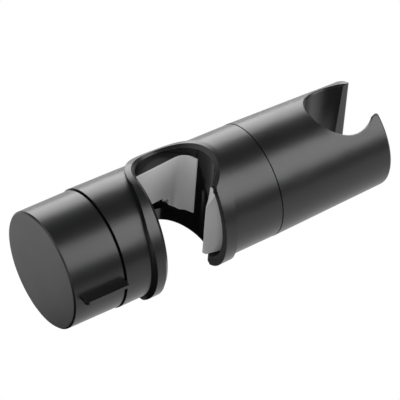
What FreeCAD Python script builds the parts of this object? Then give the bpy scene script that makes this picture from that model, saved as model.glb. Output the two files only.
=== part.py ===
import FreeCAD, Part
import math
import os
import Sketcher

# Shower handset holder that clamps on a vertical slide rail.
# X runs from the clamping knob (-X) to the hose socket (+X), Z is up along the rail,
# and the rail channel is open towards -Y. The origin is where the axis of the round
# rail channel crosses the axis of the body. All lengths are in millimetres.

SIZES = {
    # knob
    "knob_radius": 20.0,
    "knob_length": 18.8,
    "knob_wall": 2.4,
    "knob_end_wall": 3.0,
    "knob_edge_bevel": 0.5,
    "knob_mouth_chamfer": 0.4,
    "knob_boss_radius": 8.5,
    "knob_rib_thickness": 1.6,
    "knob_rib_count": 6,
    "knob_seam_gap": 0.45,
    "fin_reach": 22.8,
    "fin_thickness": 1.2,
    "fin_level": 4.5,
    "fin_end_inset": 2.5,
    "fin_mouth_inset": 0.6,
    "fin_corner_round": 1.2,
    # clamp screw and what carries it
    "screw_head_across_flats": 12.0,
    "screw_head_height": 6.0,
    "screw_head_depth": 4.0,
    "screw_journal_radius": 4.0,
    "screw_thread_radius": 3.5,
    "screw_tip_to_rail_axis": 16.8,
    "screw_tip_bevel": 0.9,
    "screw_groove_radius": 3.2,
    "bush_wall": 1.5,
    "running_clearance": 0.05,
    "seat_clearance": 0.03,
    "thrust_washer_thickness": 1.0,
    "clip_thickness": 0.8,
    "clip_radius": 6.2,
    "clip_opening": 5.6,
    "wave_washer_height": 0.8,
    "wave_washer_thickness": 0.4,
    "clip_recess_radius": 6.8,
    "clip_recess_depth": 2.0,
    "grip_ring_section": 1.6,
    # clamp body
    "rail_to_knob_seam": 29.75,
    "rail_to_socket_seam": 29.45,
    "body_radius_at_knob": 20.36,
    "body_radius_at_socket": 19.44,
    "spigot_radius": 17.3,
    "spigot_length": 3.2,
    "bulkhead_inset": 2.55,
    # rail channel and its raised lip
    "channel_radius": 12.8,
    "channel_hook": 8.3,
    "mouth_knob_slant": 0.098,
    "mouth_hook_slant": 0.114,
    "lip_radius_at_knob": 22.15,
    "lip_radius_at_socket": 20.35,
    "lip_arch_width": 3.2,
    "lip_knob_slant": 0.235,
    "lip_socket_slant": 0.225,
    "lip_ramp_foot": 20.9,
    "lip_ramp_width": 1.5,
    "channel_rim_bevel": 1.3,
    "hook_inner_radius": 18.0,
    "hook_pocket_reach": 14.6,
    # grey pads of the channel
    "pad_gap": 0.2,
    "back_pad_seat_depth": 1.8,
    "back_pad_flat_depth": 4.35,
    "back_pad_lean": 0.07,
    "back_pad_curve_step": 0.2,
    "back_pad_bend_radius": 5.0,
    "back_pad_wing_depth": 7.9,
    "back_pad_top": 14.9,
    "back_pad_bottom": 10.4,
    "back_pad_notch_width": 4.6,
    "back_pad_notch_top": 2.1,
    "back_pad_notch_step": 1.5,
    "back_pad_notch_side": 6.4,
    "back_pad_notch_slope_end": 8.8,
    "hook_pad_front": 9.8,
    "hook_pad_back": 7.0,
    "hook_pad_slant": 0.19,
    "hook_pad_face_radius": 11.4,
    "hook_pad_top": 14.2,
    "hook_pad_bottom": 13.6,
    "hook_pad_corner_width": 3.5,
    "hook_pad_corner_height": 5.4,
    "hook_pad_heel": 1.4,
    # moving jaw
    "jaw_front": 13.8,
    "jaw_back": 26.9,
    "jaw_half_height": 12.0,
    "jaw_side_back": 7.0,
    "jaw_side_front": 8.0,
    "jaw_guide_clearance": 0.3,
    "jaw_face_radius": 22.0,
    "jaw_pad_thickness": 2.6,
    "jaw_edge_round": 1.0,
    "jaw_nut_across_flats": 11.0,
    "jaw_nut_height": 5.0,
    # swivel joint
    "swivel_seam_gap": 0.3,
    "swivel_cup_radius": 14.0,
    "swivel_cup_depth": 6.0,
    "swivel_boss_radius": 6.0,
    "swivel_boss_inset": 0.85,
    "insert_radius": 3.6,
    "insert_length": 10.0,
    "swivel_bush_wall": 1.4,
    "swivel_bush_length": 5.5,
    "socket_spigot_wall": 3.0,
    "socket_spigot_length": 5.4,
    "friction_ring_outer": 17.5,
    "friction_ring_depth": 1.8,
    "pivot_radius": 2.5,
    "pivot_length": 18.0,
    "pivot_tip_bevel": 0.5,
    "pivot_head_radius": 4.6,
    "pivot_head_height": 3.2,
    "pivot_head_bevel": 1.3,
    "pivot_washer_thickness": 1.0,
    "pivot_washer_radius": 5.4,
    "pivot_spring_height": 1.0,
    "pivot_spring_thickness": 0.5,
    "cross_recess_arm": 2.5,
    "cross_recess_width": 1.2,
    "cross_recess_depth": 1.6,
    # hose socket
    "socket_length": 43.25,
    "socket_radius_at_seam": 19.52,
    "socket_radius_at_end": 18.16,
    "socket_end_round": 0.9,
    "slot_edge_round": 1.0,
    "socket_cavity_depth": 2.75,
    "socket_web": 3.5,
    "socket_screw_well_radius": 6.2,
    "cone_axis_from_rail": 63.0,
    "cone_radius_top": 10.95,
    "cone_radius_bottom": 9.8,
    "cone_top": 18.5,
    "cone_land_top": 13.0,
    "cone_rim_chamfer": 0.8,
    "hose_slot_width": 16.0,
}

# how far a long tool runs past the solid that it cuts
OVERRUN = 6.0

# how far a short tool or a fused piece runs into its neighbour
LAP = 1.0

# how near a sampled point lies to the edge that is looked for
NEAR = 0.02


class Measure:
    """A length that carries its number and the sheet formula that gives it."""

    def __init__(self, value, formula):
        self.value = value
        self.formula = formula

    @staticmethod
    def of(thing):
        if isinstance(thing, Measure):
            return thing
        return Measure(float(thing), repr(float(thing)))

    def join(self, other, sign, value):
        return Measure(value, "(%s %s %s)" % (self.formula, sign, other.formula))

    def __add__(self, other):
        other = Measure.of(other)
        return self.join(other, "+", self.value + other.value)

    def __sub__(self, other):
        other = Measure.of(other)
        return self.join(other, "-", self.value - other.value)

    def __mul__(self, other):
        other = Measure.of(other)
        return self.join(other, "*", self.value * other.value)

    def __truediv__(self, other):
        other = Measure.of(other)
        return self.join(other, "/", self.value / other.value)

    def __radd__(self, other):
        return Measure.of(other) + self

    def __rsub__(self, other):
        return Measure.of(other) - self

    def __rmul__(self, other):
        return Measure.of(other) * self

    def __neg__(self):
        return Measure.of(0.0) - self


def rounded_corner(across, side, radius):
    """Four corners of a convex rounding, from (across - radius, side) to (across, side - radius)."""
    corners = []
    for step in range(4):
        angle = math.radians(30 * step)
        corners.append((across - radius * (1 - math.sin(angle)),
                        side - radius * (1 - math.cos(angle))))
    return corners


def leg(hypotenuse, side):
    """The other side of a right-angled triangle."""
    hypotenuse = Measure.of(hypotenuse)
    side = Measure.of(side)
    value = math.sqrt(hypotenuse.value ** 2 - side.value ** 2)
    formula = "sqrt(%s * %s - %s * %s)" % (
        hypotenuse.formula, hypotenuse.formula, side.formula, side.formula)
    return Measure(value, formula)


class Sizes:
    """The driving dimensions as measures, one attribute for each cell of the sheet."""

    def __init__(self, table):
        for alias, number in table.items():
            setattr(self, alias, Measure(number, "Sizes." + alias))


doc = FreeCAD.newDocument("shower_holder")
sheet = doc.addObject("Spreadsheet::Sheet", "Sizes")
for row, (alias, number) in enumerate(SIZES.items(), start=1):
    sheet.set("A%d" % row, alias)
    sheet.set("B%d" % row, str(number))
    sheet.setAlias("B%d" % row, alias)
doc.recompute()
S = Sizes({alias: float(sheet.get(alias)) for alias in SIZES})


# helpers for sketches and solids

def new_body(name):
    return doc.addObject("PartDesign::Body", name)


def sketch_on(body, name, role):
    plane = [item for item in body.Origin.OriginFeatures if item.Role == role][0]
    sketch = body.newObject("Sketcher::SketchObject", name)
    sketch.AttachmentSupport = [(plane, "")]
    sketch.MapMode = "FlatFace"
    return sketch


def outline(sketch, points):
    """Draw a closed polygon whose corners are bound to the sheet."""
    corners = [(Measure.of(across), Measure.of(up)) for across, up in points]
    first = sketch.GeometryCount
    count = len(corners)
    for index, (across, up) in enumerate(corners):
        after, rise = corners[(index + 1) % count]
        start = FreeCAD.Vector(across.value, up.value, 0)
        end = FreeCAD.Vector(after.value, rise.value, 0)
        sketch.addGeometry(Part.LineSegment(start, end), False)
    for index in range(count):
        following = first + (index + 1) % count
        sketch.addConstraint(Sketcher.Constraint("Coincident", first + index, 2, following, 1))
    for index, corner in enumerate(corners):
        for kind, measure in zip(("DistanceX", "DistanceY"), corner):
            place = sketch.addConstraint(
                Sketcher.Constraint(kind, first + index, 1, measure.value))
            sketch.setExpression("Constraints[%d]" % place, measure.formula)
    return sketch


def revolve(body, name, points):
    """Turn a half profile, given as (x, radius) corners, about the X axis."""
    sketch = outline(sketch_on(body, name + "_profile", "XZ_Plane"), points)
    feature = body.newObject("PartDesign::Revolution", name)
    feature.Profile = sketch
    feature.ReferenceAxis = (sketch, ["H_Axis"])
    feature.Angle = 360
    doc.recompute()
    return feature


def groove(body, name, points):
    """Cut a turned recess, given as (x, radius) corners, about the X axis."""
    sketch = outline(sketch_on(body, name + "_profile", "XZ_Plane"), points)
    feature = body.newObject("PartDesign::Groove", name)
    feature.Profile = sketch
    feature.ReferenceAxis = (sketch, ["H_Axis"])
    feature.Angle = 360
    doc.recompute()
    return feature


def pad(body, name, points, height, role="XY_Plane"):
    """Raise a polygon to both sides of one of the body's origin planes."""
    sketch = outline(sketch_on(body, name + "_outline", role), points)
    feature = body.newObject("PartDesign::Pad", name)
    feature.Profile = sketch
    feature.SideType = "Symmetric"
    feature.setExpression("Length", Measure.of(height).formula)
    doc.recompute()
    return feature


def bind(item, **places):
    """Bind properties of an object to the sheet; dots are written as double underscores."""
    for key, measure in places.items():
        item.setExpression(key.replace("__", "."), Measure.of(measure).formula)
    return item


def box(name, low, high):
    """A block between two corners."""
    low = [Measure.of(value) for value in low]
    high = [Measure.of(value) for value in high]
    item = doc.addObject("Part::Box", name)
    bind(item, Length=high[0] - low[0], Width=high[1] - low[1], Height=high[2] - low[2])
    bind(item, Placement__Base__x=low[0], Placement__Base__y=low[1], Placement__Base__z=low[2])
    return item


def upright_cylinder(name, radius, low, high, across=0.0):
    """A cylinder about a vertical axis at the given X."""
    item = doc.addObject("Part::Cylinder", name)
    bind(item, Radius=radius, Height=Measure.of(high) - low)
    return bind(item, Placement__Base__x=across, Placement__Base__z=low)


def lying_cylinder(name, radius, start, end):
    """A cylinder about the X axis."""
    item = doc.addObject("Part::Cylinder", name)
    item.Placement = FreeCAD.Placement(
        FreeCAD.Vector(), FreeCAD.Rotation(FreeCAD.Vector(0, 1, 0), 90))
    bind(item, Radius=radius, Height=Measure.of(end) - start)
    return bind(item, Placement__Base__x=start)


def hexagon(name, across_flats, start, end):
    """A six-sided bar about the X axis."""
    item = doc.addObject("Part::Prism", name)
    item.Polygon = 6
    item.Placement = FreeCAD.Placement(
        FreeCAD.Vector(), FreeCAD.Rotation(FreeCAD.Vector(0, 1, 0), 90))
    bind(item, Circumradius=Measure.of(across_flats) / math.sqrt(3.0),
         Height=Measure.of(end) - start)
    return bind(item, Placement__Base__x=start)


def fuse(name, *shapes):
    item = doc.addObject("Part::MultiFuse", name)
    item.Shapes = list(shapes)
    item.Refine = True
    doc.recompute()
    return item


def common(name, *shapes):
    item = doc.addObject("Part::MultiCommon", name)
    item.Shapes = list(shapes)
    doc.recompute()
    return item


def cut(name, base, *tools):
    tool = tools[0] if len(tools) == 1 else fuse(name + "_tool", *tools)
    item = doc.addObject("Part::Cut", name)
    item.Base = base
    item.Tool = tool
    item.Refine = True
    doc.recompute()
    return item


def round_edges(name, base, radius, wanted):
    """Round every edge of a boolean's result that the test picks."""
    numbers = [index for index, edge in enumerate(base.Shape.Edges, start=1) if wanted(edge)]
    item = doc.addObject("Part::Fillet", name)
    item.Base = base
    item.Edges = [(index, radius.value, radius.value) for index in numbers]
    doc.recompute()
    return item


def chamfer_edges(name, base, width, wanted):
    """Bevel every edge of a boolean's result that the test picks."""
    numbers = [index for index, edge in enumerate(base.Shape.Edges, start=1) if wanted(edge)]
    item = doc.addObject("Part::Chamfer", name)
    item.Base = base
    item.Edges = [(index, width.value, width.value) for index in numbers]
    doc.recompute()
    return item


def dress(body, kind, name, size, wanted):
    """Add a fillet or chamfer feature to a body on the edges that the test picks."""
    base = body.Tip
    numbers = ["Edge%d" % index for index, edge in enumerate(base.Shape.Edges, start=1)
               if wanted(edge)]
    feature = body.newObject("PartDesign::" + kind, name)
    feature.Base = (base, numbers)
    feature.setExpression("Radius" if kind == "Fillet" else "Size", size.formula)
    doc.recompute()
    return feature


def samples(edge):
    """Seven points spread along an edge."""
    low, high = edge.FirstParameter, edge.LastParameter
    return [edge.valueAt(low + (high - low) * step / 6.0) for step in range(7)]


def axis_distance(point):
    return math.hypot(point.y, point.z)


def is_ring_at(edge, across, radius):
    """Whether an edge is a ring about the X axis at this place."""
    return all(abs(point.x - across.value) < NEAR and abs(axis_distance(point) - radius.value) < NEAR
               for point in samples(edge))


parts = []


def finish_part(label, item):
    """Name a finished piece, which stands where it was modelled."""
    item.Label = label
    parts.append(item)
    return item


# places along the X axis, all worked out from the sizes

body_knob_face = -S.rail_to_knob_seam
spigot_end = body_knob_face - S.spigot_length
bulkhead_inside = body_knob_face + S.bulkhead_inset
clip_recess_floor = bulkhead_inside - S.clip_recess_depth
knob_mouth = body_knob_face - S.knob_seam_gap
knob_face = knob_mouth - S.knob_length
knob_inside = knob_face + S.knob_end_wall
knob_boss_end = spigot_end - S.thrust_washer_thickness
screw_head_front = knob_boss_end - S.screw_head_depth
screw_head_back = screw_head_front - S.screw_head_height
screw_tip = -S.screw_tip_to_rail_axis
clip_back = clip_recess_floor + S.wave_washer_height
clip_front = clip_back + S.clip_thickness
body_socket_face = S.rail_to_socket_seam
swivel_cup_floor = body_socket_face - S.swivel_cup_depth
swivel_boss_end = body_socket_face - S.swivel_boss_inset
insert_floor = swivel_boss_end - S.insert_length
friction_ring_floor = body_socket_face - S.friction_ring_depth
socket_face = body_socket_face + S.swivel_seam_gap
socket_end = socket_face + S.socket_length
socket_spigot_end = socket_face - S.socket_spigot_length
web_back = socket_face + S.socket_cavity_depth
web_front = web_back + S.socket_web
pivot_washer_front = web_front + S.pivot_washer_thickness
pivot_head_seat = pivot_washer_front + S.pivot_spring_height
pivot_head_top = pivot_head_seat + S.pivot_head_height
pivot_tip = pivot_head_seat - S.pivot_length
knob_inner_radius = S.knob_radius - S.knob_wall
bush_radius = S.screw_journal_radius + S.running_clearance + S.bush_wall
socket_spigot_radius = S.swivel_cup_radius - S.swivel_bush_wall - S.running_clearance
spigot_middle = body_knob_face - S.spigot_length / 2
grip_groove_floor = S.spigot_radius - S.grip_ring_section - 2 * S.seat_clearance
back_pad_seat_radius = S.channel_radius + S.back_pad_seat_depth
back_pad_flat = S.channel_radius - S.back_pad_flat_depth
back_pad_curve_radius = S.channel_radius - S.back_pad_curve_step
back_pad_end = S.channel_radius - S.back_pad_wing_depth


# clamp screw: a hexagon head moulded into the knob, a journal, a groove and a threaded shank

def make_clamp_screw():
    head = hexagon("screw_head", S.screw_head_across_flats, screw_head_back, screw_head_front)
    shank = revolve(new_body("screw_shank"), "screw_turning", [
        (screw_head_front, 0),
        (screw_head_front, S.screw_journal_radius),
        (clip_back, S.screw_journal_radius),
        (clip_back, S.screw_groove_radius),
        (clip_front, S.screw_groove_radius),
        (clip_front, S.screw_thread_radius),
        (screw_tip - S.screw_tip_bevel, S.screw_thread_radius),
        (screw_tip, S.screw_thread_radius - S.screw_tip_bevel),
        (screw_tip, 0),
    ]).getParent()
    return fuse("clamp_screw_solid", head, shank)


# knob: a closed drum with an inner boss, ribs and the outer thumb fin

def make_knob():
    drum = new_body("knob_drum")
    revolve(drum, "knob_shell", [
        (knob_face, 0),
        (knob_face, S.knob_radius),
        (knob_mouth, S.knob_radius),
        (knob_mouth, knob_inner_radius),
        (knob_inside, knob_inner_radius),
        (knob_inside, S.knob_boss_radius),
        (knob_boss_end, S.knob_boss_radius),
        (knob_boss_end, 0),
    ])
    rib_start = knob_inside - LAP
    rib_root = S.knob_boss_radius - LAP
    rib_tip = knob_inner_radius + LAP
    rib_mouth = knob_boss_end - S.thrust_washer_thickness
    rib_sketch = outline(sketch_on(drum, "knob_rib_outline", "XZ_Plane"), [
        (rib_start, rib_root), (rib_mouth, rib_root), (rib_mouth, rib_tip), (rib_start, rib_tip)])
    rib = drum.newObject("PartDesign::Pad", "knob_rib")
    rib.Profile = rib_sketch
    rib.SideType = "Symmetric"
    rib.setExpression("Length", S.knob_rib_thickness.formula)
    doc.recompute()
    ribs = drum.newObject("PartDesign::PolarPattern", "knob_ribs")
    ribs.Originals = [rib]
    ribs.Axis = (rib_sketch, ["H_Axis"])
    ribs.Angle = 360
    ribs.setExpression("Occurrences", S.knob_rib_count.formula)
    drum.Tip = ribs
    doc.recompute()
    dress(drum, "Chamfer", "knob_face_bevel", S.knob_edge_bevel,
          lambda edge: is_ring_at(edge, knob_face, S.knob_radius))
    dress(drum, "Chamfer", "knob_mouth_bevel", S.knob_mouth_chamfer,
          lambda edge: is_ring_at(edge, knob_mouth, S.knob_radius))
    fin_start = knob_face + S.fin_end_inset
    fin_stop = knob_mouth - S.fin_mouth_inset
    fin_root = leg(S.knob_radius - S.knob_wall / 2, S.fin_level)
    fin = pad(drum, "thumb_fin", [
        (fin_start, -fin_root),
        (fin_start, -S.fin_reach),
        (fin_stop, -S.fin_reach),
        (fin_stop, -fin_root),
    ], S.fin_thickness)
    fin.Profile[0].setExpression("AttachmentOffset.Base.z", S.fin_level.formula)
    doc.recompute()

    def fin_corner(edge):
        return all(abs(point.x - fin_start.value) < NEAR
                   and abs(point.y + S.fin_reach.value) < NEAR for point in samples(edge))

    dress(drum, "Fillet", "fin_corner_rounding", S.fin_corner_round, fin_corner)
    pocket = hexagon("knob_hexagon_pocket", S.screw_head_across_flats + 2 * S.seat_clearance,
                     screw_head_back, screw_head_front)
    hole = lying_cylinder("knob_shank_hole", S.screw_journal_radius + S.seat_clearance,
                          screw_head_front - LAP, knob_boss_end + LAP)
    return cut("knob_solid", drum, pocket, hole)


# small turned pieces about the X axis

def ring(label, start, end, inner, outer):
    """A plain ring about the X axis."""
    body = new_body(label)
    revolve(body, label + "_turning", [(start, inner), (start, outer), (end, outer), (end, inner)])
    return body


def disc_spring(label, start, height, thickness, inner, outer):
    """A coned spring washer about the X axis, as high as the room it fills."""
    body = new_body(label)
    lift = height - thickness
    revolve(body, label + "_turning", [
        (start + lift, inner), (start, outer), (start + thickness, outer), (start + height, inner)])
    return body


def make_retaining_clip():
    clip = ring("clip_blank", clip_back, clip_front, S.screw_groove_radius + S.seat_clearance,
                S.clip_radius)
    opening = box("clip_opening_tool",
                  (clip_back - LAP, -(S.clip_opening / 2), 0),
                  (clip_front + LAP, S.clip_opening / 2, S.clip_radius + LAP))
    return cut("clip_solid", clip, opening)


def make_grip_ring():
    """The square rubber ring in the groove of the body's spigot."""
    start = spigot_middle - S.grip_ring_section / 2
    return ring("grip_ring_solid", start, start + S.grip_ring_section,
                grip_groove_floor + S.seat_clearance,
                grip_groove_floor + S.seat_clearance + S.grip_ring_section)


# clamp body: a tapered barrel with a raised lip round the rail channel

def make_barrel():
    barrel = new_body("barrel")
    revolve(barrel, "barrel_turning", [
        (bulkhead_inside, 0),
        (bulkhead_inside, S.clip_recess_radius),
        (clip_recess_floor, S.clip_recess_radius),
        (clip_recess_floor, bush_radius),
        (spigot_end, bush_radius),
        (spigot_end, S.spigot_radius),
        (body_knob_face, S.spigot_radius),
        (body_knob_face, S.body_radius_at_knob),
        (body_socket_face, S.body_radius_at_socket),
        (body_socket_face, S.friction_ring_outer),
        (friction_ring_floor, S.friction_ring_outer),
        (friction_ring_floor, S.swivel_cup_radius),
        (swivel_cup_floor, S.swivel_cup_radius),
        (swivel_cup_floor, S.swivel_boss_radius),
        (swivel_boss_end, S.swivel_boss_radius),
        (swivel_boss_end, S.insert_radius),
        (insert_floor, S.insert_radius),
        (insert_floor, 0),
    ])
    half = S.grip_ring_section / 2 + S.seat_clearance
    groove(barrel, "grip_ring_groove", [
        (spigot_middle - half, grip_groove_floor),
        (spigot_middle - half, S.spigot_radius + LAP),
        (spigot_middle + half, S.spigot_radius + LAP),
        (spigot_middle + half, grip_groove_floor),
    ])
    return barrel


def taper(at_knob, at_socket, across):
    """Radius, at a place along X, of a cone that is given at the barrel's two ends."""
    share = (across - body_knob_face) / (body_socket_face - body_knob_face)
    return at_knob + (at_socket - at_knob) * share


def make_lip_stock():
    """The drum that the lip's crest lies on, with the ramp at its end towards the knob."""
    foot = -S.lip_ramp_foot
    crest = foot + S.lip_ramp_width
    stock = new_body("lip_stock")
    revolve(stock, "lip_stock_turning", [
        (foot, 0),
        (foot, taper(S.body_radius_at_knob, S.body_radius_at_socket, foot)),
        (crest, taper(S.lip_radius_at_knob, S.lip_radius_at_socket, crest)),
        (body_socket_face, S.lip_radius_at_socket),
        (body_socket_face, 0),
    ])
    return stock


def make_lip():
    """A collar that follows the channel's outline and stands proud of the barrel."""
    arch_radius = S.channel_radius + S.lip_arch_width
    reach = S.lip_radius_at_knob + OVERRUN
    front = -reach
    arch = upright_cylinder("lip_arch", arch_radius, -reach, reach)
    legs = new_body("lip_legs")
    pad(legs, "lip_legs_pad", [
        (-arch_radius, 0),
        (-arch_radius + S.lip_knob_slant * front, front),
        (arch_radius + S.lip_socket_slant * front, front),
        (arch_radius, 0),
    ], 2 * reach)
    return common("lip", fuse("lip_outline", arch, legs), make_lip_stock())


def make_channel_tool():
    """The round rail channel and its slanted mouth towards the front."""
    reach = S.lip_radius_at_knob + OVERRUN
    round_part = upright_cylinder("channel_round", S.channel_radius, -reach, reach)
    mouth = new_body("channel_mouth")
    hook_depth = leg(S.channel_radius, S.channel_hook)
    pad(mouth, "channel_mouth_pad", [
        (-S.channel_radius, 0),
        (-S.channel_radius - S.mouth_knob_slant * reach, -reach),
        (S.channel_hook - S.mouth_hook_slant * (reach - hook_depth), -reach),
        (S.channel_hook, -hook_depth),
        (0, 0),
    ], 2 * reach)
    return fuse("channel_tool", round_part, mouth)


def make_hook_pocket():
    """The room behind the hooked lip, where the hook pad sits."""
    room = box("hook_room",
               (S.channel_hook - LAP, -(S.hook_inner_radius + LAP), -S.hook_pad_bottom - S.pad_gap),
               (S.hook_pocket_reach, -S.hook_pad_back + S.pad_gap, S.hook_pad_top + S.pad_gap))
    tube = lying_cylinder("hook_tube", S.hook_inner_radius, 0, S.hook_pocket_reach + LAP)
    return common("hook_pocket", room, tube)


def make_back_pad_seat():
    """The shallow recess in the back of the channel, for the back pad."""
    disc = upright_cylinder("back_seat_disc", back_pad_seat_radius,
                            -S.back_pad_bottom - S.pad_gap, S.back_pad_top + S.pad_gap)
    reach = back_pad_seat_radius + LAP
    height = S.lip_radius_at_knob
    right = box("back_seat_right", (0, back_pad_end - S.pad_gap, -height),
                (reach, reach, height))
    left_front = back_pad_flat - S.back_pad_lean * back_pad_seat_radius - S.pad_gap
    left = box("back_seat_left", (-reach, left_front, -height), (0, reach, height))
    return common("back_pad_seat", disc, fuse("back_seat_sides", right, left))


def make_jaw_guide():
    """The square way in which the moving jaw slides out of the barrel."""
    gap = S.jaw_guide_clearance
    return box("jaw_guide",
               (bulkhead_inside, -S.jaw_side_front - gap, -S.jaw_half_height - gap),
               (-S.channel_hook, S.jaw_side_back + gap, S.jaw_half_height + gap))


def make_channel_flare(channel):
    """The bevel round the back of the channel's lower rim, cut a little past the lip."""
    skin = 0.2
    at_knob = S.lip_radius_at_knob + skin
    at_socket = S.lip_radius_at_socket + skin
    stock = new_body("rim_stock")
    revolve(stock, "rim_stock_turning", [
        (body_knob_face, 0),
        (body_knob_face, at_knob),
        (body_socket_face, at_socket),
        (body_socket_face, 0),
    ])
    bored = cut("rim_bored", stock, channel)

    def is_lower_rim(edge):
        return all(point.z < 0 and abs(math.hypot(point.x, point.y) - S.channel_radius.value) < NEAR
                   and abs(axis_distance(point) - taper(at_knob, at_socket, point.x).value) < NEAR
                   for point in samples(edge))

    flared = chamfer_edges("rim_bevelled", bored, S.channel_rim_bevel + skin, is_lower_rim)
    return cut("rim_flare_tool", stock, flared)


def make_clamp_body():
    channel = make_channel_tool()
    barrel = fuse("barrel_and_lip", make_barrel(), make_lip())
    return cut("clamp_body_solid", barrel, channel, make_hook_pocket(), make_back_pad_seat(),
               make_jaw_guide(), make_channel_flare(channel))


# grey pads that line the channel

def make_back_pad():
    low, high = -S.back_pad_bottom, S.back_pad_top
    radius = back_pad_seat_radius - S.pad_gap
    reach = S.lip_radius_at_knob
    disc = upright_cylinder("back_pad_disc", radius, low, high)
    block = new_body("back_pad_block")
    flat_left = back_pad_flat - S.back_pad_lean * radius
    flat_right = back_pad_flat + S.back_pad_lean * radius
    pad(block, "back_pad_block_pad", [
        (-radius, flat_left), (radius, flat_right), (radius, radius), (-radius, radius)], 2 * reach)
    curve = upright_cylinder("back_pad_curve", back_pad_curve_radius, -reach, reach)
    wing = cut("back_pad_wing", box("back_pad_wing_block", (0, back_pad_end, -reach),
                                    (radius, radius, reach)), curve)
    plan = fuse("back_pad_plan", block, wing)

    def is_bend(edge):
        return all(point.x > 0 and point.y < radius.value - LAP
                   and abs(math.hypot(point.x, point.y) - back_pad_curve_radius.value) < NEAR
                   and abs(point.y - back_pad_flat.value - S.back_pad_lean.value * point.x) < NEAR
                   for point in samples(edge))

    bent = round_edges("back_pad_bend", plan, S.back_pad_bend_radius, is_bend)
    stock = common("back_pad_stock", disc, bent)
    notch = new_body("back_pad_notch")
    step = S.back_pad_notch_top + S.back_pad_notch_step
    pad(notch, "back_pad_notch_pad", [
        (-reach, -reach), (-reach, -S.back_pad_notch_top),
        (S.back_pad_notch_width / 2, -S.back_pad_notch_top),
        (S.back_pad_notch_width / 2, -step), (S.back_pad_notch_width, -step),
        (S.back_pad_notch_width, -S.back_pad_notch_side),
        (S.back_pad_notch_slope_end, -S.back_pad_bottom),
        (S.back_pad_notch_slope_end, -reach),
    ], 4 * reach, "XZ_Plane")
    return cut("back_pad_solid", stock, notch)


def make_hook_pad():
    low, high = -S.hook_pad_bottom, S.hook_pad_top
    toe = leg(S.hook_pad_face_radius, S.hook_pad_front)
    end = S.hook_pocket_reach - S.pad_gap
    plate = new_body("hook_pad_plate")
    pad(plate, "hook_pad_plate_pad", [
        (0, -S.hook_pad_front), (toe, -S.hook_pad_front),
        (end, -S.hook_pad_front - S.hook_pad_slant * (end - toe)),
        (end, -S.hook_pad_back), (0, -S.hook_pad_back)], 4 * high)
    stock = common("hook_pad_stock", plate, box(
        "hook_pad_height", (0, -S.hook_inner_radius, low), (end, 0, high)))
    face = upright_cylinder("hook_pad_face", S.hook_pad_face_radius, low - LAP, high + LAP)
    corners = new_body("hook_pad_corners")
    pad(corners, "hook_pad_top_corner", [
        (toe - LAP, high + LAP), (toe - LAP, high - S.hook_pad_corner_height),
        (toe, high - S.hook_pad_corner_height),
        (toe + S.hook_pad_corner_width, high), (toe + S.hook_pad_corner_width, high + LAP),
    ], 4 * S.hook_pad_front, "XZ_Plane")
    heel = new_body("hook_pad_heel_body")
    pad(heel, "hook_pad_bottom_corner", [
        (toe - LAP, low - LAP), (toe - LAP, low + S.hook_pad_heel), (toe, low + S.hook_pad_heel),
        (toe + S.hook_pad_heel, low), (toe + S.hook_pad_heel, low - LAP),
    ], 4 * S.hook_pad_front, "XZ_Plane")
    return cut("hook_pad_solid", stock, face, corners, heel)


# moving jaw with its nut and its grey face

def make_jaw():
    sides = (-S.jaw_side_front, S.jaw_side_back)
    seam = -S.jaw_front - S.jaw_pad_thickness
    block = box("jaw_block", (-S.jaw_back, sides[0], -S.jaw_half_height),
                (seam, sides[1], S.jaw_half_height))
    nut_end = -S.jaw_back + S.jaw_nut_height
    nut_room = hexagon("jaw_nut_room", S.jaw_nut_across_flats + 2 * S.seat_clearance,
                       -S.jaw_back - LAP, nut_end)
    bore = lying_cylinder("jaw_bore", S.screw_thread_radius + S.jaw_guide_clearance,
                          nut_end - LAP, seam + LAP)
    jaw = cut("jaw_bored", block, nut_room, bore)

    def is_long_corner(edge):
        return all(abs(abs(point.z) - S.jaw_half_height.value) < NEAR
                   and min(abs(point.y - side.value) for side in sides) < NEAR
                   for point in samples(edge))

    return round_edges("jaw_solid", jaw, S.jaw_edge_round, is_long_corner)


def make_jaw_nut():
    end = -S.jaw_back + S.jaw_nut_height
    blank = hexagon("jaw_nut_blank", S.jaw_nut_across_flats, -S.jaw_back, end)
    bore = lying_cylinder("jaw_nut_bore", S.screw_thread_radius + S.running_clearance,
                          -S.jaw_back - LAP, end + LAP)
    return cut("jaw_nut_solid", blank, bore)


def make_jaw_pad():
    seam = -S.jaw_front - S.jaw_pad_thickness
    blank = box("jaw_pad_blank", (seam, -S.jaw_side_front, -S.jaw_half_height),
                (-S.jaw_front, S.jaw_side_back, S.jaw_half_height))
    middle = -S.jaw_front + leg(S.jaw_face_radius, S.jaw_side_front)
    face = upright_cylinder("jaw_pad_face", S.jaw_face_radius, -S.jaw_half_height - LAP,
                            S.jaw_half_height + LAP, middle)
    return cut("jaw_pad_solid", blank, face)


# swivel joint

def make_pivot_screw():
    body = new_body("pivot_turning_body")
    revolve(body, "pivot_turning", [
        (pivot_tip, 0), (pivot_tip, S.pivot_radius - S.pivot_tip_bevel),
        (pivot_tip + S.pivot_tip_bevel, S.pivot_radius),
        (pivot_head_seat, S.pivot_radius), (pivot_head_seat, S.pivot_head_radius),
        (pivot_head_top - S.pivot_head_bevel, S.pivot_head_radius),
        (pivot_head_top, S.pivot_head_radius - S.pivot_head_bevel), (pivot_head_top, 0),
    ])
    half = S.cross_recess_width / 2
    arm = S.cross_recess_arm
    floor = pivot_head_top - S.cross_recess_depth
    slots = [
        box("recess_upright", (floor, -half, -arm), (pivot_head_top + LAP, half, arm)),
        box("recess_level", (floor, -arm, -half), (pivot_head_top + LAP, arm, half)),
    ]
    return cut("pivot_screw_solid", body, *slots)


# hose socket: a tapered drum with a conical seat and a slot for the hose

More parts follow.
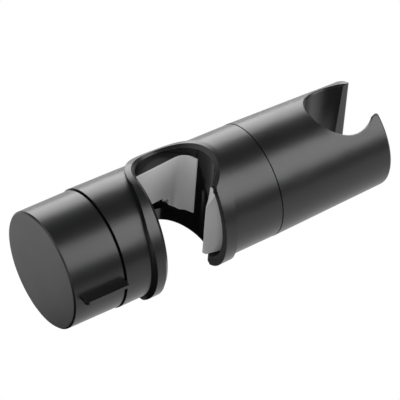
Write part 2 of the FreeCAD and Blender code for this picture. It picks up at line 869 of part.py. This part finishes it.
def socket_radius_at(across):
    """Radius of the tapered socket at a place along X."""
    share = (across - socket_face) / (socket_end - socket_face)
    return S.socket_radius_at_seam + (S.socket_radius_at_end - S.socket_radius_at_seam) * share


def make_hose_cone(name, reach):
    """The conical seat of the handset, widening towards the top."""
    growth = (S.cone_radius_top - S.cone_radius_bottom) / (S.cone_top + S.cone_land_top)
    cone = doc.addObject("Part::Cone", name)
    bind(cone, Radius1=S.cone_radius_bottom,
         Radius2=S.cone_radius_top + growth * (reach - S.cone_top), Height=reach + S.cone_land_top)
    return bind(cone, Placement__Base__x=S.cone_axis_from_rail,
                Placement__Base__z=-S.cone_land_top)


def make_cone_flare(reach):
    """The bevel of the cone's upper rim, cut a little past the outside of the drum."""
    skin = 0.2
    near = S.cone_axis_from_rail - 2 * S.cone_radius_top
    far = S.cone_axis_from_rail + 2 * S.cone_radius_top
    stock = new_body("flare_stock")
    revolve(stock, "flare_stock_turning", [
        (near, 0), (near, socket_radius_at(near) + skin),
        (far, socket_radius_at(far) + skin), (far, 0)])
    bored = cut("flare_bored", stock, make_hose_cone("flare_cone", reach))

    def is_top_rim(edge):
        centre = S.cone_axis_from_rail.value
        return all(point.z > 0 and abs(math.hypot(point.x - centre, point.y)
                                       - S.cone_radius_top.value) < S.cone_rim_chamfer.value
                   for point in samples(edge))

    flared = chamfer_edges("flare_bevelled", bored, S.cone_rim_chamfer + skin, is_top_rim)
    return cut("flare_tool", stock, flared)


def make_hose_slot(reach):
    """The slot from the cone through the end, whose edges are rounded where it opens."""
    half = S.hose_slot_width / 2
    side = [(S.cone_axis_from_rail, half)]
    side += [(across, 2 * half - flare) for across, flare in
             rounded_corner(socket_end, half, S.slot_edge_round)]
    side += [(socket_end + OVERRUN, side[-1][1])]
    slot = new_body("hose_slot")
    pad(slot, "hose_slot_pad",
        side + [(across, -half_width) for across, half_width in reversed(side)], 2 * reach)
    return slot


def make_socket():
    drum = new_body("socket_drum")
    cavity_radius = socket_spigot_radius - S.socket_spigot_wall
    revolve(drum, "socket_turning", [
        (web_back, S.pivot_radius + 2 * S.running_clearance),
        (web_back, cavity_radius),
        (socket_spigot_end, cavity_radius),
        (socket_spigot_end, socket_spigot_radius),
        (socket_face, socket_spigot_radius),
        (socket_face, S.socket_radius_at_seam),
        *rounded_corner(socket_end, S.socket_radius_at_end, S.socket_end_round),
        (socket_end, 0),
        (S.cone_axis_from_rail, 0),
        (S.cone_axis_from_rail, S.socket_screw_well_radius),
        (web_front, S.socket_screw_well_radius),
        (web_front, S.pivot_radius + 2 * S.running_clearance),
    ])
    reach = S.socket_radius_at_seam + LAP
    cone = make_hose_cone("hose_cone", reach)
    land = upright_cylinder("hose_land", S.cone_radius_bottom, -reach, -S.cone_land_top,
                            S.cone_axis_from_rail)
    return cut("socket_solid", drum, cone, land, make_hose_slot(reach), make_cone_flare(reach))


# the pieces, from the knob to the socket

finish_part("knob", make_knob())
finish_part("clamp_screw", make_clamp_screw())
finish_part("thrust_washer", ring(
    "thrust_washer_solid", knob_boss_end, spigot_end,
    S.screw_journal_radius + S.running_clearance, S.knob_boss_radius))
finish_part("wave_washer", disc_spring(
    "wave_washer_solid", clip_recess_floor, S.wave_washer_height, S.wave_washer_thickness,
    S.screw_journal_radius + S.running_clearance, S.clip_radius))
finish_part("retaining_clip", make_retaining_clip())
finish_part("screw_bush", ring(
    "screw_bush_solid", spigot_end, clip_recess_floor,
    S.screw_journal_radius + S.running_clearance, bush_radius - S.seat_clearance))
finish_part("grip_ring", make_grip_ring())
finish_part("clamp_body", make_clamp_body())
finish_part("back_pad", make_back_pad())
finish_part("hook_pad", make_hook_pad())
finish_part("moving_jaw", make_jaw())
finish_part("jaw_nut", make_jaw_nut())
finish_part("jaw_pad", make_jaw_pad())
finish_part("pivot_insert", ring(
    "pivot_insert_solid", insert_floor, swivel_boss_end,
    S.pivot_radius + S.seat_clearance, S.insert_radius - S.seat_clearance))
finish_part("swivel_bush", ring(
    "swivel_bush_solid", swivel_cup_floor, swivel_cup_floor + S.swivel_bush_length,
    S.swivel_cup_radius - S.swivel_bush_wall, S.swivel_cup_radius - S.seat_clearance))
finish_part("friction_ring", ring(
    "friction_ring_solid", friction_ring_floor, socket_face,
    S.swivel_cup_radius + S.seat_clearance, S.friction_ring_outer - S.seat_clearance))
finish_part("pivot_screw", make_pivot_screw())
finish_part("pivot_washer", ring(
    "pivot_washer_solid", web_front, pivot_washer_front,
    S.pivot_radius + S.running_clearance, S.pivot_washer_radius))
finish_part("pivot_spring", disc_spring(
    "pivot_spring_solid", pivot_washer_front, S.pivot_spring_height, S.pivot_spring_thickness,
    S.pivot_radius + S.running_clearance, S.pivot_washer_radius))
finish_part("hose_socket", make_socket())
doc.recompute()

# every object and every piece is sound before anything is written

for item in doc.Objects:
    if "Invalid" in item.State or "Error" in item.State:
        raise RuntimeError("object %s failed: %s" % (item.Name, item.State))
for item in parts:
    if item.Shape.isNull() or not item.Shape.isValid():
        raise RuntimeError("piece %s is not a sound solid" % item.Label)

os.makedirs("parts", exist_ok=True)
for item in parts:
    item.Shape.exportStep(os.path.join("parts", item.Label + ".step"))
    bounds = item.Shape.BoundBox
    print("%-16s solids %d volume %9.1f x %.2f..%.2f y %.2f..%.2f z %.2f..%.2f" % (
        item.Label, len(item.Shape.Solids), item.Shape.Volume, bounds.XMin, bounds.XMax,
        bounds.YMin, bounds.YMax, bounds.ZMin, bounds.ZMax))
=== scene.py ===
import logging
import math
from dataclasses import dataclass, field
from enum import Enum
from functools import cache

import bpy
from mathutils import Matrix, Vector


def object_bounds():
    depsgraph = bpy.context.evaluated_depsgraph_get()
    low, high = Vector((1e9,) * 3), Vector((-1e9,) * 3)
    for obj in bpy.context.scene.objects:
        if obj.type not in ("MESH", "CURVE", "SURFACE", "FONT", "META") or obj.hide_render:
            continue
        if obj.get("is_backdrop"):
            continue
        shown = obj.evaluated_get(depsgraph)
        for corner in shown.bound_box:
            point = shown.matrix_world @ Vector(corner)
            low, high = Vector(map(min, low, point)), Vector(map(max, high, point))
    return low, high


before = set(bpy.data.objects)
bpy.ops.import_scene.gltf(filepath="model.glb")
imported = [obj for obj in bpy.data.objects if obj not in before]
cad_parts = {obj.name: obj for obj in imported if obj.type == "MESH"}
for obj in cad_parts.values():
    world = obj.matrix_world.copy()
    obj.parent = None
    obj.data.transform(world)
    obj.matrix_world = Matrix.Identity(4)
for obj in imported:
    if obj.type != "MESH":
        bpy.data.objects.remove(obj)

logging.basicConfig(level=logging.INFO, format="%(message)s")
log = logging.getLogger("shower_holder")

MM = 0.001
WHITE = (1.0, 1.0, 1.0, 1.0)
BLACK = (0.0, 0.0, 0.0, 1.0)
NOISE_LOW = 0.3
NOISE_HIGH = 0.7
NOISE_ROUGHNESS = 0.55

Triple = tuple[float, float, float]
Socket = bpy.types.NodeSocket
Owner = bpy.types.Material | bpy.types.World


class Grain(Enum):
    """How fine the moulded grain of a plastic is, as a noise scale per metre."""

    FINE = 5200.0
    MEDIUM = 3400.0


class NodeMath(Enum):
    """A node's way to work with numbers or vectors: its type, operation and output."""

    LARGER = ("Math", "MAXIMUM", "Value")
    PRODUCT = ("VectorMath", "MULTIPLY", "Vector")
    DIRECTION = ("VectorMath", "NORMALIZE", "Vector")
    COSINE = ("VectorMath", "DOT_PRODUCT", "Value")


@dataclass
class Tree:
    """The node tree of a material or of the world, with short ways to add and join nodes."""

    owner: Owner

    @classmethod
    def clear(cls, owner: Owner) -> "Tree":
        """Start on an empty tree.

        Args:
            owner: the material or the world.

        Returns:
            Its tree, with no nodes.
        """
        owner.use_nodes = True
        owner.node_tree.nodes.clear()
        return cls(owner)

    def node(self, kind: str, **values: object) -> bpy.types.Node:
        """Add a node.

        Args:
            kind: the node's type without its ShaderNode prefix.
            values: its input sockets, with underscores for the spaces in their names.

        Returns:
            The new node.
        """
        item = self.owner.node_tree.nodes.new("ShaderNode" + kind)
        for name, value in values.items():
            item.inputs[name.replace("_", " ")].default_value = value
        return item

    def join(self, source: Socket, target: Socket) -> None:
        """Link an output socket to an input socket."""
        self.owner.node_tree.links.new(source, target)

    def noise(self, scale: float, detail: float,
              stretch: Triple = (1.0, 1.0, 1.0)) -> Socket:
        """Add a noise that is fixed to the piece.

        Args:
            scale: noise scale, per metre.
            detail: octaves.
            stretch: scale along each axis.

        Returns:
            The factor socket, whose values lie mostly between NOISE_LOW and NOISE_HIGH.
        """
        mapping = self.node("Mapping", Scale=stretch)
        self.join(self.node("TexCoord").outputs["Object"], mapping.inputs["Vector"])
        noise = self.node("TexNoise", Scale=scale, Detail=detail,
                          Roughness=NOISE_ROUGHNESS)
        self.join(mapping.outputs["Vector"], noise.inputs["Vector"])
        return noise.outputs["Fac"]

    def spread(self, factor: Socket, low: float, high: float,
               start: float = NOISE_LOW, end: float = NOISE_HIGH) -> Socket:
        """Map a factor onto a range.

        Args:
            factor: the socket to map.
            low: result at start.
            high: result at end.
            start: factor where the range starts.
            end: factor where the range ends.

        Returns:
            The result socket.
        """
        item = self.node("MapRange", From_Min=start, From_Max=end, To_Min=low, To_Max=high)
        self.join(factor, item.inputs["Value"])
        return item.outputs["Result"]

    def tint(self, factor: Socket, dark: Triple, light: Triple) -> Socket:
        """Mix two colours by a noise.

        Args:
            factor: the noise's factor socket.
            dark: colour where the noise is low.
            light: colour where the noise is high.

        Returns:
            The colour socket.
        """
        ramp = self.node("ValToRGB")
        stops = zip(ramp.color_ramp.elements, (NOISE_LOW, NOISE_HIGH), (dark, light))
        for stop, position, color in stops:
            stop.position = position
            stop.color = (*color, 1.0)
        self.join(factor, ramp.inputs["Fac"])
        return ramp.outputs["Color"]

    def relief(self, height: Socket, depth: float, strength: float,
               below: Socket | None = None) -> Socket:
        """Turn a height into a bumped normal.

        Args:
            height: the height socket.
            depth: its depth in millimetres.
            strength: bump strength.
            below: the normal of a coarser bump that this one lies on, or None.

        Returns:
            The normal socket.
        """
        bump = self.node("Bump", Distance=depth * MM, Strength=strength)
        self.join(height, bump.inputs["Height"])
        if below is not None:
            self.join(below, bump.inputs["Normal"])
        return bump.outputs["Normal"]

    def work_out(self, way: NodeMath, *terms: Socket | Triple) -> Socket:
        """Work with numbers or vectors.

        Args:
            way: what is done with them.
            terms: a socket or a fixed vector for each input.

        Returns:
            The result socket.
        """
        kind, operation, result = way.value
        item = self.node(kind)
        item.operation = operation
        for target, term in zip(item.inputs, terms):
            if isinstance(term, tuple):
                target.default_value = term
            else:
                self.join(term, target)
        return item.outputs[result]

    def backdrop_rays(self) -> Socket:
        """Tell the rays that show the white floor from those that only light the part.

        Returns:
            A socket that is 1 for camera, glossy and transmission rays, and 0 for the rest.
        """
        path = self.node("LightPath")
        shown = path.outputs["Is Camera Ray"]
        for kind in ("Is Glossy Ray", "Is Transmission Ray"):
            shown = self.work_out(NodeMath.LARGER, shown, path.outputs[kind])
        return shown

    def surface(self, color: Socket, roughness: Socket, normal: Socket,
                **values: object) -> bpy.types.Material:
        """Close the tree with a principled surface.

        Args:
            color: colour socket.
            roughness: roughness socket.
            normal: normal socket.
            values: further principled sockets.

        Returns:
            The material.
        """
        shader = self.node("BsdfPrincipled", **values)
        self.join(color, shader.inputs["Base Color"])
        self.join(roughness, shader.inputs["Roughness"])
        self.join(normal, shader.inputs["Normal"])
        return self.close(shader.outputs["BSDF"])

    def choose(self, factor: Socket, first: Socket, second: Socket) -> Socket:
        """Pass one of two shaders on.

        Args:
            factor: a socket that is 0 for the first shader and 1 for the second.
            first: the first shader's socket.
            second: the second shader's socket.

        Returns:
            The chosen shader's socket.
        """
        mix = self.node("MixShader")
        self.join(factor, mix.inputs["Fac"])
        self.join(first, mix.inputs[1])
        self.join(second, mix.inputs[2])
        return mix.outputs["Shader"]

    def close(self, shader: Socket, kind: str = "OutputMaterial") -> Owner:
        """Close the tree with its output node, and give its material or world back."""
        self.join(shader, self.node(kind).inputs["Surface"])
        return self.owner


@dataclass(frozen=True)
class Plastic:
    """A moulded plastic: grained skin, slight mottling, faint handling marks."""

    name: str
    dark: Triple
    light: Triple
    roughness: float
    grain: Grain = Grain.FINE
    grain_depth: float = 0.03
    grain_strength: float = 0.10
    mottle_scale: float = 38.0
    mottle_swing: float = 0.025
    mark_scale: float = 900.0
    mark_stretch: Triple = (0.12, 1.0, 1.0)
    mark_depth: float = 0.01
    mark_strength: float = 0.05
    ior: float = 1.46

    def build(self) -> bpy.types.Material:
        """Make the material.

        Returns:
            The material.
        """
        tree = Tree.clear(bpy.data.materials.new(self.name))
        cloud = tree.noise(self.mottle_scale, detail=3.0)
        skin = tree.noise(self.grain.value, detail=1.0)
        marks = tree.noise(self.mark_scale, detail=1.0, stretch=self.mark_stretch)
        color = self.shade(tree, tree.tint(cloud, self.dark, self.light))
        rough = tree.spread(cloud, self.roughness - self.mottle_swing,
                            self.roughness + self.mottle_swing)
        normal = tree.relief(skin, self.grain_depth, self.grain_strength)
        normal = tree.relief(marks, self.mark_depth, self.mark_strength, normal)
        return tree.surface(color, self.polish(tree, rough), normal, IOR=self.ior)

    def shade(self, tree: Tree, color: Socket) -> Socket:
        """Change the colour in places; a plain plastic is left as it is."""
        return color

    def polish(self, tree: Tree, rough: Socket) -> Socket:
        """Change the roughness in places; a plain plastic is left as it is."""
        return rough


@dataclass(frozen=True)
class BoredPlastic(Plastic):
    """A plastic whose upright bore is smoother than its grained outside.

    The bore's faces look towards the Z axis, and a polished core leaves them smooth.
    """

    bore_roughness: float = 0.13
    fully_inward: float = -0.95
    hardly_inward: float = -0.75

    def polish(self, tree: Tree, rough: Socket) -> Socket:
        """Smooth the faces that look towards the Z axis.

        Args:
            tree: the material's tree.
            rough: roughness socket of the grained outside.

        Returns:
            The mixed roughness socket.
        """
        place = tree.node("TexCoord")
        level = tree.work_out(NodeMath.PRODUCT, place.outputs["Object"], (1.0, 1.0, 0.0))
        radial = tree.work_out(NodeMath.DIRECTION, level)
        facing = tree.work_out(NodeMath.COSINE, radial, place.outputs["Normal"])
        inward = tree.spread(facing, 1.0, 0.0, self.fully_inward, self.hardly_inward)
        mix = tree.node("Mix", B=self.bore_roughness)
        tree.join(inward, mix.inputs["Factor"])
        tree.join(rough, mix.inputs["A"])
        return mix.outputs["Result"]


@dataclass(frozen=True)
class LinerPlastic(Plastic):
    """A liner's plastic with painted shade: its faces that look up are mixed to near black."""

    # near-black colour of the painted shade on the faces that look up
    painted_top_shade: Triple = (0.008, 0.008, 0.008)
    hardly_upward: float = 0.6
    fully_upward: float = 0.9

    def shade(self, tree: Tree, color: Socket) -> Socket:
        """Paint shade on the faces that look up, mixing their colour to near black.

        Args:
            tree: the material's tree.
            color: colour socket of the liner.

        Returns:
            The mixed colour socket.
        """
        facing = tree.node("SeparateXYZ")
        tree.join(tree.node("TexCoord").outputs["Normal"], facing.inputs["Vector"])
        upward = tree.spread(facing.outputs["Z"], 0.0, 1.0, self.hardly_upward, self.fully_upward)
        # painted shade: the colour of faces that look up is mixed to near black
        mix = tree.node("MixRGB", Color2=(*self.painted_top_shade, 1.0))
        tree.join(upward, mix.inputs["Fac"])
        tree.join(color, mix.inputs["Color1"])
        return mix.outputs["Color"]


@dataclass(frozen=True)
class TurnedMetal:
    """A turned metal: fine rings about the X axis and a mottled tint."""

    name: str
    dark: Triple
    light: Triple
    roughness: float
    smoother: float = 0.06
    rougher: float = 0.08
    mottle_scale: float = 160.0
    ring_scale: float = 2600.0
    ring_stretch: Triple = (1.0, 0.02, 0.02)
    ring_depth: float = 0.02
    ring_strength: float = 0.25

    def build(self) -> bpy.types.Material:
        """Make the material.

        Returns:
            The material.
        """
        tree = Tree.clear(bpy.data.materials.new(self.name))
        cloud = tree.noise(self.mottle_scale, detail=3.0)
        rings = tree.noise(self.ring_scale, detail=2.0, stretch=self.ring_stretch)
        color = tree.tint(cloud, self.dark, self.light)
        rough = tree.spread(rings, self.roughness - self.smoother, self.roughness + self.rougher)
        normal = tree.relief(rings, self.ring_depth, self.ring_strength)
        return tree.surface(color, rough, normal, Metallic=1.0)


@dataclass(frozen=True)
class Rubber:
    """A matt rubber with a dusty bloom."""

    name: str
    dark: Triple
    light: Triple
    smoothest: float = 0.62
    roughest: float = 0.8
    bloom_scale: float = 420.0
    bloom_depth: float = 0.05
    bloom_strength: float = 0.2
    ior: float = 1.5

    def build(self) -> bpy.types.Material:
        """Make the material.

        Returns:
            The material.
        """
        tree = Tree.clear(bpy.data.materials.new(self.name))
        bloom = tree.noise(self.bloom_scale, detail=4.0)
        color = tree.tint(bloom, self.dark, self.light)
        rough = tree.spread(bloom, self.smoothest, self.roughest)
        normal = tree.relief(bloom, self.bloom_depth, self.bloom_strength)
        return tree.surface(color, rough, normal, IOR=self.ior)


Finish = Plastic | TurnedMetal | Rubber

BLACK_ABS = Plastic("black_abs", dark=(0.0050, 0.0050, 0.0052), light=(0.0066, 0.0066, 0.0068),
                    roughness=0.33)
BODY_ABS = BoredPlastic("body_abs", dark=BLACK_ABS.dark, light=BLACK_ABS.light,
                        roughness=BLACK_ABS.roughness)
# the pads' grey, with painted shade on the faces that look up
GREY_PAD = LinerPlastic("grey_pad", dark=(0.46, 0.46, 0.46), light=(0.55, 0.55, 0.55),
                        roughness=0.36, grain=Grain.MEDIUM, grain_strength=0.06)
ACETAL = Plastic("white_acetal", dark=(0.72, 0.72, 0.70), light=(0.80, 0.80, 0.78),
                 roughness=0.42)
STEEL = TurnedMetal("turned_steel", dark=(0.50, 0.50, 0.51), light=(0.62, 0.62, 0.63),
                    roughness=0.28)
SPRING_STEEL = TurnedMetal("spring_steel", dark=(0.42, 0.42, 0.44), light=(0.56, 0.56, 0.58),
                           roughness=0.22)
BRASS = TurnedMetal("turned_brass", dark=(0.60, 0.44, 0.20), light=(0.74, 0.57, 0.30),
                    roughness=0.26)
RUBBER = Rubber("black_rubber", dark=(0.012, 0.012, 0.012), light=(0.022, 0.022, 0.022))


@cache
def material_of(finish: Finish) -> bpy.types.Material:
    """Make a finish's one material at its first use, and give it again after that."""
    return finish.build()


@dataclass
class SubAssembly:
    """A group of construction pieces, with their finishes and the rounding of their edges.

    The widths of the rounding are in millimetres, and the angles in degrees.
    """

    title: str
    finishes: dict[str, Finish]
    edge_rounds: dict[str, float]
    weld_reach: float = 0.002
    sharp_angle: float = 32.0
    round_steps: int = 3
    crease_angle: float = 38.0

    def dress(self) -> None:
        """Give every piece of the group its material, smooth shading and rounded edges."""
        for node, finish in self.finishes.items():
            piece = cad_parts[node]
            piece.data.materials.clear()
            piece.data.materials.append(material_of(finish))
            self.smooth(piece)
            if node in self.edge_rounds:
                self.round_edges(piece, self.edge_rounds[node])
            log.info("%s: %s in %s", self.title, node, finish.name)

    def smooth(self, piece: bpy.types.Object) -> None:
        """Join the split corners of a piece's facets and shade it smoothly across them.

        Args:
            piece: the mesh object.
        """
        weld = piece.modifiers.new("weld", "WELD")
        weld.merge_threshold = self.weld_reach * MM
        for polygon in piece.data.polygons:
            polygon.use_smooth = True

    def round_edges(self, piece: bpy.types.Object, width: float) -> None:
        """Round a piece's sharp edges, and let its large faces rule the shading.

        Args:
            piece: the mesh object.
            width: the rounding's width in millimetres.
        """
        bevel = piece.modifiers.new("edge_round", "BEVEL")
        bevel.width = width * MM
        bevel.segments = self.round_steps
        bevel.limit_method = "ANGLE"
        bevel.angle_limit = math.radians(self.sharp_angle)
        crease = piece.modifiers.new("creases", "EDGE_SPLIT")
        crease.split_angle = math.radians(self.crease_angle)
        crease.use_edge_sharp = False
        weigh = piece.modifiers.new("face_weights", "WEIGHTED_NORMAL")
        weigh.mode = "FACE_AREA"


@dataclass
class KnobAssembly(SubAssembly):
    """The clamping knob with its screw."""

    title: str = "knob"
    finishes: dict[str, Finish] = field(default_factory=lambda: {
        "knob": BLACK_ABS, "clamp_screw": STEEL, "thrust_washer": ACETAL,
        "retaining_clip": SPRING_STEEL})
    edge_rounds: dict[str, float] = field(default_factory=lambda: {
        "knob": 0.3, "clamp_screw": 0.15})


@dataclass
class BodyAssembly(SubAssembly):
    """The clamp body with its pads and the fixed small parts."""

    title: str = "body"
    finishes: dict[str, Finish] = field(default_factory=lambda: {
        "clamp_body": BODY_ABS, "back_pad": GREY_PAD, "hook_pad": GREY_PAD,
        "screw_bush": BRASS, "grip_ring": RUBBER, "wave_washer": SPRING_STEEL})
    edge_rounds: dict[str, float] = field(default_factory=lambda: {
        "clamp_body": 0.4, "back_pad": 0.25, "hook_pad": 0.25})


@dataclass
class JawAssembly(SubAssembly):
    """The moving jaw with its nut and pad."""

    title: str = "jaw"
    finishes: dict[str, Finish] = field(default_factory=lambda: {
        "moving_jaw": BLACK_ABS, "jaw_nut": BRASS, "jaw_pad": GREY_PAD})
    edge_rounds: dict[str, float] = field(default_factory=lambda: {
        "moving_jaw": 0.2, "jaw_pad": 0.2})


@dataclass
class SwivelAssembly(SubAssembly):
    """The pivot screw and what runs on it."""

    title: str = "swivel"
    finishes: dict[str, Finish] = field(default_factory=lambda: {
        "pivot_insert": BRASS, "swivel_bush": ACETAL, "friction_ring": RUBBER,
        "pivot_screw": STEEL, "pivot_washer": STEEL, "pivot_spring": SPRING_STEEL})
    edge_rounds: dict[str, float] = field(default_factory=lambda: {"pivot_screw": 0.12})


@dataclass
class SocketAssembly(SubAssembly):
    """The hose socket."""

    title: str = "socket"
    finishes: dict[str, Finish] = field(default_factory=lambda: {"hose_socket": BLACK_ABS})
    edge_rounds: dict[str, float] = field(default_factory=lambda: {"hose_socket": 0.3})


@dataclass(frozen=True)
class Softbox:
    """A studio softbox: a plain area light seen from the part in one direction.

    Its distance, width and height are in metres, and with a radiance of 1 it looks white.
    """

    name: str
    toward: Triple
    distance: float
    width: float
    height: float
    radiance: float

    def place(self, target: Vector) -> None:
        """Put the light in the scene, with its width along the part's long axis.

        Args:
            target: the point that it faces.
        """
        light = bpy.data.lights.new(self.name, "AREA")
        light.shape = "RECTANGLE"
        light.size = self.width
        light.size_y = self.height
        light.energy = self.radiance * math.pi * self.width * self.height
        holder = bpy.data.objects.new(self.name, light)
        bpy.context.scene.collection.objects.link(holder)
        out = Vector(self.toward).normalized()
        along = (Vector((1.0, 0.0, 0.0)) - out * out.x).normalized()
        pose = Matrix((along, out.cross(along), out)).transposed().to_4x4()
        pose.translation = target + out * self.distance
        holder.matrix_world = pose
        log.info("light %s", self.name)


@dataclass(frozen=True)
class PhotoCamera:
    """The photograph's camera, set as a tripod's head is.

    The point that it is aimed at, its distance, lens and sensor are in millimetres. Its angles
    are in degrees: the azimuth runs from the view along +Y, and the roll tips the picture.
    """

    aim: Triple = (11.05, 0.65, 0.0)
    azimuth: float = -36.386
    elevation: float = 46.405
    roll: float = 4.601
    distance: float = 1281.41
    lens: float = 360.0
    sensor: float = 36.0
    nearest: float = 50.0
    farthest: float = 20000.0

    def place(self) -> None:
        """Make the camera and set it as the scene's camera."""
        data = bpy.data.cameras.new("photo_camera")
        data.sensor_width = self.sensor
        data.lens = self.lens
        data.clip_start = self.nearest * MM
        data.clip_end = self.farthest * MM
        holder = bpy.data.objects.new("photo_camera", data)
        bpy.context.scene.collection.objects.link(holder)
        holder.matrix_world = (
            Matrix.Translation(Vector(self.aim) * MM)
            @ Matrix.Rotation(math.radians(self.azimuth), 4, "Z")
            @ Matrix.Rotation(math.radians(90.0 - self.elevation), 4, "X")
            @ Matrix.Rotation(math.radians(self.roll), 4, "Z")
            @ Matrix.Translation((0.0, 0.0, self.distance * MM)))
        bpy.context.scene.camera = holder


@dataclass(frozen=True)
class Studio:
    """The white floor with its black card, the room, the lights and the camera, in metres."""

    centre: Triple = (0.012, 0.0, 0.0)
    floor_level: float = -0.16
    floor_reach: float = 3.0
    floor_tint: Triple = (0.97, 0.98, 1.0)
    floor_glow: float = 0.6
    card_lift: float = 0.002
    card_tab_centre: tuple[float, float] = (-0.05, 0.095)
    card_tab_radius: float = 0.055
    card_tab_steps: int = 18
    room_tint: Triple = (0.9, 0.95, 1.0)
    room_glow: float = 0.06
    softboxes: tuple[Softbox, ...] = (
        Softbox("back_softbox", toward=(0.40, 0.885, 0.237), distance=0.95, width=1.10,
                height=0.66, radiance=5.2),
        Softbox("top_softbox", toward=(0.65, -0.455, 0.609), distance=1.0, width=0.95,
                height=0.80, radiance=5.4),
        Softbox("front_fill", toward=(-0.62, -0.64, 0.45), distance=1.0, width=0.80,
                height=0.80, radiance=3.6),
        Softbox("side_fill", toward=(-0.85, 0.35, 0.35), distance=1.0, width=0.80,
                height=0.80, radiance=1.5),
    )

    def build(self) -> None:
        """Set the studio up."""
        self.floor()
        self.black_card()
        self.room()
        for softbox in self.softboxes:
            softbox.place(Vector(self.centre))
        PhotoCamera().place()
        bpy.context.scene.view_settings.view_transform = "Standard"

    def lay(self, name: str, corners: list[Triple], tree: Tree) -> bpy.types.Object:
        """Lay a flat sheet of the studio.

        Args:
            name: the sheet's name.
            corners: its outline.
            tree: its material's tree.

        Returns:
            The sheet.
        """
        mesh = bpy.data.meshes.new(name)
        mesh.from_pydata(corners, [], [tuple(range(len(corners)))])
        mesh.materials.append(tree.owner)
        sheet = bpy.data.objects.new(name, mesh)
        bpy.context.scene.collection.objects.link(sheet)
        sheet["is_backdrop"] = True
        return sheet

    def floor(self) -> None:
        """Lay the floor: white to the camera and in gloss and glass, dimmer as a light."""
        reach, level = self.floor_reach, self.floor_level
        tree = Tree.clear(bpy.data.materials.new("pale_floor"))
        white = tree.node("Emission", Color=WHITE, Strength=1.0)
        dim = tree.node("Emission", Color=(*self.floor_tint, 1.0), Strength=self.floor_glow)
        tree.close(tree.choose(tree.backdrop_rays(), dim.outputs["Emission"],
                               white.outputs["Emission"]))
        self.lay("floor", [(-reach, -reach, level), (reach, -reach, level),
                           (reach, reach, level), (-reach, reach, level)], tree)

    def black_card(self) -> None:
        """Lay the black card that keeps the floor's glare off the near side and the channel.

        The card has a round tab under the channel, and the camera doesn't see it.
        """
        reach, level = self.floor_reach, self.floor_level + self.card_lift
        x, y = self.card_tab_centre
        angles = [math.pi * step / self.card_tab_steps for step in range(self.card_tab_steps + 1)]
        tab = [(x + self.card_tab_radius * math.cos(angle),
                y + self.card_tab_radius * math.sin(angle), level) for angle in angles]
        side = x + self.card_tab_radius
        tree = Tree.clear(bpy.data.materials.new("card_black"))
        tree.close(tree.node("BsdfDiffuse", Color=BLACK).outputs["BSDF"])
        card = self.lay("black_card", [(-reach, -reach, level), (side, -reach, level), *tab,
                                       (-reach, y, level)], tree)
        card.visible_camera = False

    def room(self) -> None:
        """Give the room a dim even grey, and a white backdrop to the camera."""
        world = bpy.data.worlds.new("studio_room")
        bpy.context.scene.world = world
        tree = Tree.clear(world)
        dim = tree.node("Background", Color=(*self.room_tint, 1.0), Strength=self.room_glow)
        white = tree.node("Background", Color=WHITE, Strength=1.0)
        seen = tree.node("LightPath").outputs["Is Camera Ray"]
        tree.close(tree.choose(seen, dim.outputs["Background"], white.outputs["Background"]),
                   "OutputWorld")


def write_size(name: str, sizes: dict[str, list]) -> None:
    """Args:
        name: when the bounds were taken.
        sizes: the bounds taken so far, to which these are added.
    """
    low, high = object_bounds()
    sizes[name] = [[float(value) for value in low], [float(value) for value in high]]


def main() -> None:
    """Dress the construction and set up the studio."""
    sizes: dict[str, list] = {}
    write_size("after_load", sizes)
    for assembly in (KnobAssembly(), BodyAssembly(), JawAssembly(), SwivelAssembly(),
                     SocketAssembly()):
        assembly.dress()
    Studio().build()
    bpy.context.view_layer.update()
    write_size("before_finish", sizes)


if __name__ == "__main__":
    main()
